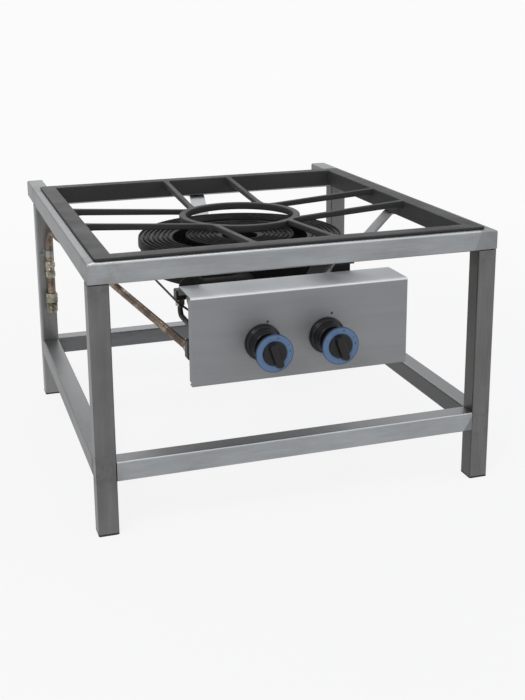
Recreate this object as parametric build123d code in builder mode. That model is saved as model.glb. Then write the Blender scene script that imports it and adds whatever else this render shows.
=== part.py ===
"""Stock pot range: a gas burner hung in a welded tube stand under a cast-iron pan grid.

Millimetres, +Z up, front towards -Y. The origin is on the floor, under the middle of the overall box.
"""
import os
from math import cos, radians, sin, sqrt

from build123d import *

os.makedirs("parts", exist_ok=True)

# ---------------------------------------------------------------- driving dimensions
WIDTH = 620.0            # outside width of the stand
BASE_DEPTH = 618.0       # front face to back face of the legs
SPACER = 82.0            # how far the side rails run on behind the back legs
STAND_H = 400.0          # floor to the steel top
TUBE = 30.0              # square tube, outside
TUBE_WALL = 1.5
TUBE_R = 3.0             # outside corner radius of the tube
PLUG_T = 3.0             # visible thickness of a plastic tube plug
PLUG_IN = 18.0           # how far a plug reaches into its tube
PLUG_WALL = 2.0
SLIP = 0.3               # clearance of a plug or a cap in what holds it
STRETCHER_TOP = 111.0    # top face of the lower stretchers

GRID_INSET = (13.0, 12.0)      # outside of the stand to the outside of the pan grid, in x and y
FLANGE_W = 27.0          # width of the grid's rim, seen from above
FLANGE_T = 4.0
SKIRT_T = 7.0
SKIRT_H = 30.0           # top of the flange to the bottom of the skirt
RING_R = 102.0           # centre ring, outside radius
RING_W = 12.0
RING_H = 16.0
RING_DROP = 15.0         # the ring lies lower than the rim
BAR_W = 10.0
BAR_H = 13.0             # bar height at the ring
BAR_ROOT_H = 20.0        # bar height at the rim
BAR_OFFSET = 62.0        # bars either side of each centre line

BURNER_H = 57.0          # underside to the highest rib of the crowns
CROWN_H = 15.0           # crown height with its ribs
CAST_WALL = 4.0
OUTER_CROWN = (114.0, 172.0)   # inside and outside radius
INNER_CROWN = (30.0, 92.0)
TROUGH_INSET = 4.0       # the trough under a crown is this much narrower each side
BOWL_TAPER = 16.0        # the outer wall draws in by this much ...
BOWL_LOWER = 20.0        # ... over this height
LIP_H = 5.0              # spigot of a crown inside its trough
RIB_PITCH = 8.0
RIB_W = 3.6
RIB_H = 3.0
WEB_W = 14.0
WEB_H = 16.0
CROWN_LIFT = 12.0

ARM_W = 28.0             # flat bars that carry the burner
ARM_T = 3.0
ARM_LAP = 24.0           # how far an arm lies under the tube and under the burner
SIDE_ARM_Y = 0.0
FRONT_ARM_X = 66.0
FRONT_ARM_RUN = 56.0     # level part of the front arm, clear of the control panel
BOLT_R = 3.0
BOLT_HEAD_R = 5.5
BOLT_HEAD_H = 4.0
BOLT_BITE = 3.0          # how far a bolt goes into what it holds
BOLT_SLIP = 0.1

PANEL_W = 332.0
PANEL_DROP = 62.0        # top of the stand to the top of the panel
PANEL_H = 132.0
PANEL_SETBACK = 6.0      # front face of the panel behind the front of the stand
PANEL_DEPTH = 69.0       # depth of its folded top
SHEET = 1.5
PANEL_LIP = 14.0         # return flanges
FOLD_R = 2.5
HANGER_W = 30.0
HANGER_NECK = 9.0
HANGER_T = 2.0
HANGER_X = (-150.0, 88.0)

KNOB_X = (-61.0, 37.5)
KNOB_DROP = 75.0         # top of the panel to the knobs
BEZEL_R = 28.0
BEZEL_L = 8.0
BEZEL_NECK_R = 23.0
BEZEL_NECK_L = 26.0      # panel face to the end of the neck
PUSH = 4.0               # how far a knob is pressed in
HUB_R = 18.0
HUB_START = 31.0         # all measured from the panel face
DIAL_START = 50.0
DIAL_T = 3.0
DIAL_R = 27.5
DIAL_RING_T = 1.5        # blue ring laid on the dial
GRIP_R = 17.2
GRIP_BASE = 57.0
GRIP_BAR = 12.0          # width of the finger bar
POINTER = 4.0            # how far the bar runs past the grip on one side
KNOB_REACH = 66.0
KNOB_TURN_REST = -70.0   # the finger bar's angle as it stands
SPINDLE_R = 4.0
SPINDLE_REACH = 60.0
SPINDLE_FLAT = 2.8       # axis to the flat
RUNNING = 0.05           # radial clearance of a turning spindle
TAP_R = 14.0
TAP_L = 34.0
SPINDLE_IN = 14.0        # depth of the spindle in the tap
TAP_BORE = 22.0
PIN_R = 2.0
PIN_HEAD_R = 3.6
PIN_HEAD_T = 2.0
PIN_L = 12.0
FEED_DEPTH = 26.0        # side outlet behind the tap's front face

MANIFOLD_R = 10.5
MANIFOLD_BORE = 8.0
MANIFOLD_X = (-145.0, 80.0)
MANIFOLD_DROP = 10.0     # manifold axis below the tap axis
TAIL_R = 3.5
TAIL_L = 5.0
ELBOW = 18.0
ELBOW_DROP = 10.0        # the supply joins this much below the manifold's axis

MIX_R = 20.0             # mixing tube, outside
MIX_WALL = 4.0
MIX_BELL = 25.0          # radius of the bell mouth
MIX_BELL_L = 14.0
OUTER_MIX_Y = -211.0
OUTER_MIX_RISE = 18.0    # axis of the outer mixing tube above the burner's underside
OUTER_MIX_X = -50.0
OUTER_MOUTH = -134.0
OUTER_BEND = 26.0
BOSS_FACE = -184.0
INNER_MIX_Y = -205.0
INNER_MOUTH = 140.0
INNER_BOSS_H = 8.0
INNER_STRAIGHT = 3.0     # straight run between its bend and the boss
SHUTTER_T = 1.5
SHUTTER_OPEN = 6.0       # air gap as it stands
SHUTTER_OUT = 4.0        # how much further it opens
INJECTOR_R = 5.5
INJECTOR_IN = 4.0        # how far the injector reaches into the mouth
INJECTOR_ORIFICE = 1.0
HOLDER = 16.0            # injector holder block
HOLDER_GAP = 14.0        # mouth to the block

PIPE_R = 6.0             # copper supply pipe
PIPE_WALL = 1.0
FEED_R = 4.0             # tube from a tap to its injector
FEED_WALL = 1.0
NUT_R = 10.0
UNION_DROP = 60.0        # top bend to the top of the union
UNION_L = 32.0
INLET_TUBE_L = 30.0
INLET_NUT_L = 18.0
INLET_L = 18.0
INLET_R = 10.4           # G 1/2 male thread
PIPE_KNEE = (20.0, 72.0)       # top bend: in from the side of the stand, down from its top
PIPE_OFF_LEG = 13.0      # pipe axis in front of the leg
PROBE_R = 1.6            # thermocouple lead
PROBE_RAD = (176.5, 103.0)     # radius where each probe stands
PROBE_X = -150.0         # the outer probe, left of the middle
LEAD_R = 7.0             # bend radius of a lead
LEAD_RISE = 8.0          # leads leave a tap this much above its axis
LEAD_OUT = (24.0, 16.0)  # straight run behind the tap: outer, inner
LEAD_PASS = ((-140.0, 27.0, 28.0), (-168.0, 29.0, 51.0), (-184.0, 107.0, 68.0))  # x, behind, above
LEAD_UNDER = 7.0         # the inner lead runs this much under the burner
PROBE_LOW = 2.0          # probe tips below the highest rib

# ---------------------------------------------------------------- places worked out from them
HALF_W = WIDTH / 2
OVERHANG = KNOB_REACH - PANEL_SETBACK
FRAME_DEPTH = BASE_DEPTH + SPACER
FRONT = OVERHANG - (FRAME_DEPTH + OVERHANG) / 2
LEG_BACK = FRONT + BASE_DEPTH
BACK = FRONT + FRAME_DEPTH
RAIL_BOTTOM = STAND_H - TUBE
CENTRE_Y = FRONT + BASE_DEPTH / 2
GRID_X = WIDTH - 2 * GRID_INSET[0]
GRID_Y = BASE_DEPTH - 2 * GRID_INSET[1]
OPEN_X = GRID_X - 2 * FLANGE_W
OPEN_Y = GRID_Y - 2 * FLANGE_W
GRID_TOP = STAND_H + FLANGE_T
RING_TOP = GRID_TOP - RING_DROP
PANEL_TOP = STAND_H - PANEL_DROP
PANEL_Y = FRONT + PANEL_SETBACK
PANEL_BACK = PANEL_Y + PANEL_DEPTH
PANEL_BOTTOM = PANEL_TOP - PANEL_H
KNOB_Z = PANEL_TOP - KNOB_DROP
INNER_BEND = MIX_R + 4
BURNER_BASE = KNOB_Z + INNER_BEND + INNER_STRAIGHT + INNER_BOSS_H
BURNER_TOP = BURNER_BASE + BURNER_H
BOWL_STEP = BURNER_BASE + BOWL_LOWER
CROWN_SEAT = BURNER_TOP - CROWN_H
OUTER_MIX_Z = BURNER_BASE + OUTER_MIX_RISE
LEG_X = HALF_W - TUBE / 2
LEG_YS = {"front": FRONT + TUBE / 2, "back": LEG_BACK - TUBE / 2}
LEG_XS = {"left": -LEG_X, "right": LEG_X}


def save(builder, name):
    """Label a finished piece and write its STEP file."""
    builder.part.label = name
    export_step(builder.part, f"parts/{name}.step")


def tube_section():
    """The section of the square tube, on the current sketch plane."""
    RectangleRounded(TUBE, TUBE, TUBE_R)
    RectangleRounded(TUBE - 2 * TUBE_WALL, TUBE - 2 * TUBE_WALL, TUBE_R - TUBE_WALL, mode=Mode.SUBTRACT)


# ---------------------------------------------------------------- stand: legs, plugs, rails, stretchers
for end, leg_y in LEG_YS.items():
    for side, leg_x in LEG_XS.items():
        with BuildPart() as leg:
            with BuildSketch(Plane((leg_x, leg_y, PLUG_T))):
                tube_section()
            extrude(amount=RAIL_BOTTOM - PLUG_T)
        save(leg, f"leg_{end}_{side}")

rail_z = RAIL_BOTTOM + TUBE / 2
with BuildPart() as rail_front:
    with BuildSketch(Plane((-HALF_W, LEG_YS["front"], rail_z), x_dir=(0, 1, 0), z_dir=(1, 0, 0))):
        tube_section()
    extrude(amount=WIDTH)
    for side in (-1, 1):
        corner = (side * HALF_W, FRONT, 0)
        split(bisect_by=Plane(corner, z_dir=(side, 1, 0)), keep=Keep.BOTTOM)
save(rail_front, "rail_front")

for side, leg_x in LEG_XS.items():
    sign = 1 if leg_x > 0 else -1
    with BuildPart() as side_rail:
        with BuildSketch(Plane((leg_x, FRONT, rail_z), x_dir=(1, 0, 0), z_dir=(0, 1, 0))):
            tube_section()
        extrude(amount=FRAME_DEPTH - PLUG_T)
        split(bisect_by=Plane((sign * HALF_W, FRONT, 0), z_dir=(sign, 1, 0)), keep=Keep.TOP)
    save(side_rail, f"rail_{side}")

plug_planes = [Plane((x, y, 0)) for x in LEG_XS.values() for y in LEG_YS.values()]
plug_planes += [Plane((x, BACK, rail_z), x_dir=(1, 0, 0), z_dir=(0, -1, 0)) for x in LEG_XS.values()]
inside = TUBE - 2 * TUBE_WALL - 2 * SLIP
with BuildPart() as tube_plugs:
    for plane in plug_planes:
        with BuildSketch(plane):
            RectangleRounded(TUBE, TUBE, TUBE_R)
        extrude(amount=PLUG_T)
        with BuildSketch(plane.offset(PLUG_T)):
            RectangleRounded(inside, inside, TUBE_R - TUBE_WALL)
            Rectangle(inside - 2 * PLUG_WALL, inside - 2 * PLUG_WALL, mode=Mode.SUBTRACT)
        extrude(amount=PLUG_IN)
save(tube_plugs, "tube_plugs")


def cross_tube(name, y, z):
    """A tube from the inside of the left leg to the inside of the right leg."""
    with BuildPart() as tube:
        with BuildSketch(Plane((-HALF_W + TUBE, y, z), x_dir=(0, 1, 0), z_dir=(1, 0, 0))):
            tube_section()
        extrude(amount=WIDTH - 2 * TUBE)
    save(tube, name)


stretcher_z = STRETCHER_TOP - TUBE / 2
cross_tube("rail_back", LEG_YS["back"], rail_z)
cross_tube("stretcher_front", LEG_YS["front"], stretcher_z)
cross_tube("stretcher_back", LEG_YS["back"], stretcher_z)
for side, leg_x in LEG_XS.items():
    with BuildPart() as stretcher:
        with BuildSketch(Plane((leg_x, FRONT + TUBE, stretcher_z), x_dir=(1, 0, 0), z_dir=(0, 1, 0))):
            tube_section()
        extrude(amount=BASE_DEPTH - 2 * TUBE)
    save(stretcher, f"stretcher_{side}")

# ---------------------------------------------------------------- pan grid: one iron casting
bar_in = sqrt((RING_R - RING_W / 2) ** 2 - BAR_OFFSET ** 2)
with BuildPart() as pan_grid:
    with BuildSketch(Plane((0, CENTRE_Y, STAND_H))):
        RectangleRounded(GRID_X, GRID_Y, 6)
        Rectangle(OPEN_X, OPEN_Y, mode=Mode.SUBTRACT)
    extrude(amount=FLANGE_T)
    with BuildSketch(Plane((0, CENTRE_Y, GRID_TOP - SKIRT_H))):
        Rectangle(OPEN_X + 2 * SKIRT_T, OPEN_Y + 2 * SKIRT_T)
        Rectangle(OPEN_X, OPEN_Y, mode=Mode.SUBTRACT)
    extrude(amount=SKIRT_H)
    with BuildSketch(Plane((0, CENTRE_Y, RING_TOP - RING_H))):
        Circle(RING_R)
        Circle(RING_R - RING_W, mode=Mode.SUBTRACT)
    extrude(amount=RING_H)
    for quarter in range(4):
        root = (OPEN_X, OPEN_Y)[quarter % 2] / 2 + 1
        with BuildSketch(Plane((0, 0, 0), x_dir=(1, 0, 0), z_dir=(0, -1, 0))) as bar_profile:
            with BuildLine():
                Polyline(
                    (bar_in, RING_TOP),
                    (root, GRID_TOP),
                    (root, GRID_TOP - BAR_ROOT_H),
                    (bar_in, RING_TOP - BAR_H),
                    close=True,
                )
            make_face()
        bar = extrude(bar_profile.sketch, amount=BAR_W / 2, both=True, mode=Mode.PRIVATE)
        for side in (-1, 1):
            placed = bar.moved(Location((0, side * BAR_OFFSET, 0)))
            add(placed.rotate(Axis.Z, 90 * quarter).moved(Location((0, CENTRE_Y, 0))))
    rim_edges = pan_grid.edges().filter_by(GeomType.CIRCLE).filter_by(lambda e: e.radius > RING_R - 1)
    chamfer(rim_edges.filter_by(lambda e: abs(e.center().Z - (RING_TOP - RING_H)) < 0.1), 1.0)
save(pan_grid, "pan_grid")

# ---------------------------------------------------------------- burner: trough casting and two crowns
outer_wall = OUTER_CROWN[1] - TROUGH_INSET
inner_mid = (INNER_CROWN[0] + INNER_CROWN[1]) / 2
centre_axis = Axis((0, CENTRE_Y, 0), (0, 0, 1))
radial = Plane((0, CENTRE_Y, 0), x_dir=(1, 0, 0), z_dir=(0, -1, 0))
troughs = ((*OUTER_CROWN, BOWL_TAPER, BOWL_STEP), (*INNER_CROWN, 0.0, BURNER_BASE + 2 * CAST_WALL))
outer_port = Plane((OUTER_MIX_X, BOSS_FACE, OUTER_MIX_Z), x_dir=(-1, 0, 0), z_dir=(0, 1, 0))
outer_port_depth = CENTRE_Y - sqrt((outer_wall - CAST_WALL / 2) ** 2 - OUTER_MIX_X ** 2) - BOSS_FACE
inner_port = Plane((0, CENTRE_Y - inner_mid, BURNER_BASE - INNER_BOSS_H))
with BuildPart() as burner_body:
    for r_in, r_out, draw, step in troughs:
        with BuildSketch(radial):
            with BuildLine():
                Polyline(
                    (r_in + TROUGH_INSET, CROWN_SEAT),
                    (r_in + TROUGH_INSET, BURNER_BASE),
                    (r_out - TROUGH_INSET - draw, BURNER_BASE),
                    (r_out - TROUGH_INSET, step),
                    (r_out - TROUGH_INSET, CROWN_SEAT),
                    close=True,
                )
            make_face()
        revolve(axis=centre_axis)
    web_in = INNER_CROWN[1] - TROUGH_INSET - CAST_WALL / 2
    web_out = OUTER_CROWN[0] + TROUGH_INSET + CAST_WALL / 2
    with BuildSketch(Plane((0, CENTRE_Y, BURNER_BASE + CAST_WALL))):
        with PolarLocations((web_in + web_out) / 2, 4, start_angle=45):
            Rectangle(web_out - web_in, WEB_W)
    extrude(amount=WEB_H)
    with BuildSketch(outer_port):
        Circle(MIX_R)
    extrude(amount=outer_port_depth + 8)
    with BuildSketch(inner_port):
        Circle(MIX_R)
    extrude(amount=INNER_BOSS_H + CAST_WALL)
    for r_in, r_out, draw, step in troughs:
        with BuildSketch(radial):
            with BuildLine():
                hollow_in = r_in + TROUGH_INSET + CAST_WALL
                hollow_out = r_out - TROUGH_INSET - CAST_WALL
                Polyline(
                    (hollow_in, CROWN_SEAT),
                    (hollow_in, BURNER_BASE + CAST_WALL),
                    (hollow_out - draw, BURNER_BASE + CAST_WALL),
                    (hollow_out, step),
                    (hollow_out, CROWN_SEAT),
                    close=True,
                )
            make_face()
        revolve(axis=centre_axis, mode=Mode.SUBTRACT)
    with BuildSketch(outer_port):
        Circle(MIX_R - MIX_WALL)
    extrude(amount=outer_port_depth + 8, mode=Mode.SUBTRACT)
    with BuildSketch(inner_port):
        Circle(MIX_R - MIX_WALL)
    extrude(amount=INNER_BOSS_H + CAST_WALL, mode=Mode.SUBTRACT)

crown_lift_gap = TROUGH_INSET + CAST_WALL + SLIP
for ring_name, (r_in, r_out) in {"outer": OUTER_CROWN, "inner": INNER_CROWN}.items():
    cap_h = CROWN_H - RIB_H
    spigot_in = r_in + crown_lift_gap
    spigot_out = r_out - crown_lift_gap
    with BuildPart() as crown:
        with BuildSketch(Plane((0, CENTRE_Y, CROWN_SEAT))):
            Circle(r_out)
            Circle(r_in, mode=Mode.SUBTRACT)
        extrude(amount=cap_h)
        with BuildSketch(Plane((0, CENTRE_Y, CROWN_SEAT - LIP_H))):
            Circle(spigot_out)
            Circle(spigot_in, mode=Mode.SUBTRACT)
        extrude(amount=LIP_H)
        with BuildSketch(Plane((0, CENTRE_Y, CROWN_SEAT - LIP_H))):
            Circle(spigot_out - CAST_WALL)
            Circle(spigot_in + CAST_WALL, mode=Mode.SUBTRACT)
        extrude(amount=LIP_H + cap_h - CAST_WALL, mode=Mode.SUBTRACT)
        for n in range(int((r_out - r_in) / RIB_PITCH)):
            rib_r = r_out - RIB_W / 2 - n * RIB_PITCH
            with BuildSketch(Plane((0, CENTRE_Y, CROWN_SEAT + cap_h))):
                Circle(rib_r + RIB_W / 2)
                Circle(rib_r - RIB_W / 2, mode=Mode.SUBTRACT)
            extrude(amount=RIB_H)
    save(crown, f"{ring_name}_crown")


# ---------------------------------------------------------------- flat bars that carry the burner
floor_edge = outer_wall - BOWL_TAPER
bolt_spots = []


def burner_arm(name, plane, rail_edge, burner_edge, run=0.0):
    """A bent flat bar, drawn in a vertical plane whose x runs from the burner out to the tube.

    It lies under the tube, goes level for the run, slopes down and ends under the burner.
    """
    top = RAIL_BOTTOM
    low = BURNER_BASE
    slope_out = rail_edge - run
    slope_in = max(slope_out - (top - low), burner_edge + 2 * ARM_T)
    bolt_at = burner_edge - ARM_LAP / 2
    spot = plane.from_local_coords(Vector(bolt_at, 0, 0))
    bolt_spots.append((spot.X, spot.Y))
    with BuildPart() as arm:
        with BuildSketch(plane):
            with BuildLine():
                Polyline(
                    (rail_edge + ARM_LAP, top),
                    (rail_edge + ARM_LAP, top - ARM_T),
                    (slope_out + ARM_T / 2, top - ARM_T),
                    (slope_in + ARM_T / 2, low - ARM_T),
                    (burner_edge - ARM_LAP, low - ARM_T),
                    (burner_edge - ARM_LAP, low),
                    (slope_in - ARM_T / 2, low),
                    (slope_out - ARM_T / 2, top),
                    close=True,
                )
            make_face()
        extrude(amount=ARM_W / 2, both=True)
        with BuildSketch(Plane((spot.X, spot.Y, low))):
            Circle(BOLT_R + BOLT_SLIP)
        extrude(amount=-ARM_T, mode=Mode.SUBTRACT)
    save(arm, name)


side_edge = sqrt(floor_edge ** 2 - (SIDE_ARM_Y - CENTRE_Y) ** 2)
burner_arm("burner_arm_right", Plane((0, SIDE_ARM_Y, 0), x_dir=(1, 0, 0), z_dir=(0, -1, 0)),
           HALF_W - TUBE, side_edge)
burner_arm("burner_arm_left", Plane((0, SIDE_ARM_Y, 0), x_dir=(-1, 0, 0), z_dir=(0, 1, 0)),
           HALF_W - TUBE, side_edge)
burner_arm("burner_arm_back", Plane((0, CENTRE_Y, 0), x_dir=(0, 1, 0), z_dir=(1, 0, 0)),
           BASE_DEPTH / 2 - TUBE, floor_edge)
front_edge = sqrt(floor_edge ** 2 - FRONT_ARM_X ** 2)
burner_arm("burner_arm_front", Plane((FRONT_ARM_X, CENTRE_Y, 0), x_dir=(0, -1, 0), z_dir=(-1, 0, 0)),
           BASE_DEPTH / 2 - TUBE, front_edge, run=FRONT_ARM_RUN)

with burner_body:
    with BuildSketch(Plane((0, 0, BURNER_BASE))):
        with Locations(*bolt_spots):
            Circle(BOLT_R + BOLT_SLIP)
    extrude(amount=BOLT_BITE + BOLT_SLIP, mode=Mode.SUBTRACT)
save(burner_body, "burner_body")

with BuildPart() as burner_bolts:
    with BuildSketch(Plane((0, 0, BURNER_BASE - ARM_T))):
        with Locations(*bolt_spots):
            RegularPolygon(BOLT_HEAD_R, 6)
    extrude(amount=-BOLT_HEAD_H)
    with BuildSketch(Plane((0, 0, BURNER_BASE - ARM_T))):
        with Locations(*bolt_spots):
            Circle(BOLT_R)
    extrude(amount=ARM_T + BOLT_BITE)
save(burner_bolts, "burner_bolts")

# ---------------------------------------------------------------- control panel: one folded sheet
panel_half = PANEL_W / 2
tap_face = Plane((0, PANEL_Y, KNOB_Z), x_dir=(1, 0, 0), z_dir=(0, -1, 0))
hanger_screw_z = PANEL_TOP - PANEL_LIP / 2 - 1
with BuildPart() as control_panel:
    with BuildSketch(Plane((0, 0, 0), x_dir=(0, 1, 0), z_dir=(1, 0, 0))):
        with BuildLine():
            Polyline(
                (PANEL_BACK, PANEL_TOP - PANEL_LIP),
                (PANEL_BACK, PANEL_TOP),
                (PANEL_Y, PANEL_TOP),
                (PANEL_Y, PANEL_BOTTOM),
                (PANEL_Y + PANEL_LIP, PANEL_BOTTOM),
                (PANEL_Y + PANEL_LIP, PANEL_BOTTOM + SHEET),
                (PANEL_Y + SHEET, PANEL_BOTTOM + SHEET),
                (PANEL_Y + SHEET, PANEL_TOP - SHEET),
                (PANEL_BACK - SHEET, PANEL_TOP - SHEET),
                (PANEL_BACK - SHEET, PANEL_TOP - PANEL_LIP),
                close=True,
            )
        make_face()
    extrude(amount=panel_half, both=True)
    folds = control_panel.edges().filter_by(Axis.X)
    outside = folds.filter_by(lambda e: abs(e.center().Z - PANEL_TOP) < 0.01)
    outside += folds.filter_by(lambda e: abs(e.center().Y - PANEL_Y) < 0.01
                               and abs(e.center().Z - PANEL_BOTTOM) < 0.01)
    fillet(outside, FOLD_R)
    lip_mid = PANEL_Y + SHEET + PANEL_LIP / 2
    with BuildSketch(Plane((0, lip_mid, (PANEL_TOP + PANEL_BOTTOM) / 2))):
        with GridLocations(PANEL_W - SHEET, 0, 2, 1):
            Rectangle(SHEET, PANEL_LIP)
    extrude(amount=PANEL_H / 2 - 2 * FOLD_R, both=True)
    with BuildSketch(tap_face):
        with Locations(*[(x, 0) for x in KNOB_X]):
            Circle(SPINDLE_R + 3)
    extrude(amount=-SHEET, mode=Mode.SUBTRACT)
    with BuildSketch(Plane((0, PANEL_BACK, hanger_screw_z), x_dir=(1, 0, 0), z_dir=(0, -1, 0))):
        with Locations(*[(x + s * HANGER_W / 4, 0) for x in HANGER_X for s in (-1, 1)]):
            Circle(2 + BOLT_SLIP)
    extrude(amount=SHEET, mode=Mode.SUBTRACT)
save(control_panel, "control_panel")

hanger_floor = PANEL_TOP - PANEL_LIP
for side, hanger_x in zip(("left", "right"), HANGER_X):
    with BuildPart() as hanger:
        with BuildSketch(Plane((hanger_x, PANEL_BACK, 0), x_dir=(1, 0, 0), z_dir=(0, -1, 0))):
            with BuildLine():
                neck_left = HANGER_W / 2 - HANGER_NECK
                Line((-HANGER_W / 2, hanger_floor), (-HANGER_W / 2, PANEL_TOP))
                ThreePointArc((-HANGER_W / 2, PANEL_TOP), (-HANGER_W / 2 + 5, PANEL_TOP + 9),
                              (neck_left, PANEL_TOP + 13))
                Line((neck_left, PANEL_TOP + 13), (neck_left, RAIL_BOTTOM))
                Line((neck_left, RAIL_BOTTOM), (HANGER_W / 2, RAIL_BOTTOM))
                Line((HANGER_W / 2, RAIL_BOTTOM), (HANGER_W / 2, hanger_floor))
                Line((HANGER_W / 2, hanger_floor), (-HANGER_W / 2, hanger_floor))
            make_face()
            with Locations((-HANGER_W / 4, hanger_screw_z), (HANGER_W / 4, hanger_screw_z)):
                Circle(2 + BOLT_SLIP, mode=Mode.SUBTRACT)
        extrude(amount=-HANGER_T)
        foot_front = FRONT + TUBE / 2
        foot_x = hanger_x + HANGER_W / 2 - HANGER_NECK / 2
        with BuildSketch(Plane((foot_x, (foot_front + PANEL_BACK) / 2, RAIL_BOTTOM))):
            Rectangle(HANGER_NECK, PANEL_BACK - foot_front)
        extrude(amount=-HANGER_T)
    save(hanger, f"panel_hanger_{side}")

with BuildPart() as panel_screws:
    spots = [(x + s * HANGER_W / 4, 0) for x in HANGER_X for s in (-1, 1)]
    screw_plane = Plane((0, PANEL_BACK + HANGER_T, hanger_screw_z), x_dir=(-1, 0, 0), z_dir=(0, 1, 0))
    mirrored = [(-x, y) for x, y in spots]
    with BuildSketch(screw_plane):
        with Locations(*mirrored):
            Circle(3.8)
    extrude(amount=2.4)
    with BuildSketch(screw_plane):
        with Locations(*mirrored):
            Circle(2.0)
    extrude(amount=-(HANGER_T + SHEET + 3))
save(panel_screws, "panel_screws")

# ---------------------------------------------------------------- gas taps, knobs and manifold
tap_front = PANEL_Y + SHEET
tap_back = tap_front + TAP_L
manifold_y = tap_back + MANIFOLD_R
manifold_z = KNOB_Z - MANIFOLD_DROP
supply_z = manifold_z - ELBOW_DROP
feed_y = tap_front + FEED_DEPTH
along_x = Plane((0, manifold_y, manifold_z), x_dir=(0, 1, 0), z_dir=(1, 0, 0))
with BuildPart() as manifold:
    with BuildSketch(along_x.offset(MANIFOLD_X[0])):
        Circle(MANIFOLD_R)
        Circle(MANIFOLD_BORE, mode=Mode.SUBTRACT)
    extrude(amount=MANIFOLD_X[1] - MANIFOLD_X[0])
    with BuildSketch(Plane((0, tap_back, manifold_z), x_dir=(1, 0, 0), z_dir=(0, -1, 0))):
        with Locations(*[(x, 0) for x in KNOB_X]):
            Circle(TAIL_R + BOLT_SLIP)
    extrude(amount=-MANIFOLD_R, mode=Mode.SUBTRACT)
save(manifold, "manifold")

with BuildPart() as manifold_cap:
    with BuildSketch(along_x.offset(MANIFOLD_X[1])):
        RegularPolygon(MANIFOLD_R + 2.5, 6)
    extrude(amount=8)
    with BuildSketch(along_x.offset(MANIFOLD_X[1])):
        Circle(MANIFOLD_BORE - BOLT_SLIP)
    extrude(amount=-10)
save(manifold_cap, "manifold_cap")

elbow_x = MANIFOLD_X[0] - ELBOW / 2
with BuildPart() as manifold_elbow:
    with BuildSketch(Plane((elbow_x, manifold_y, supply_z - ELBOW / 2))):
        Rectangle(ELBOW, ELBOW)
    extrude(amount=ELBOW + ELBOW_DROP)
    chamfer(manifold_elbow.edges(), 2)
    with BuildSketch(along_x.offset(MANIFOLD_X[0])):
        Circle(MANIFOLD_BORE - BOLT_SLIP)
    extrude(amount=10)
save(manifold_elbow, "manifold_elbow")

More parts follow.
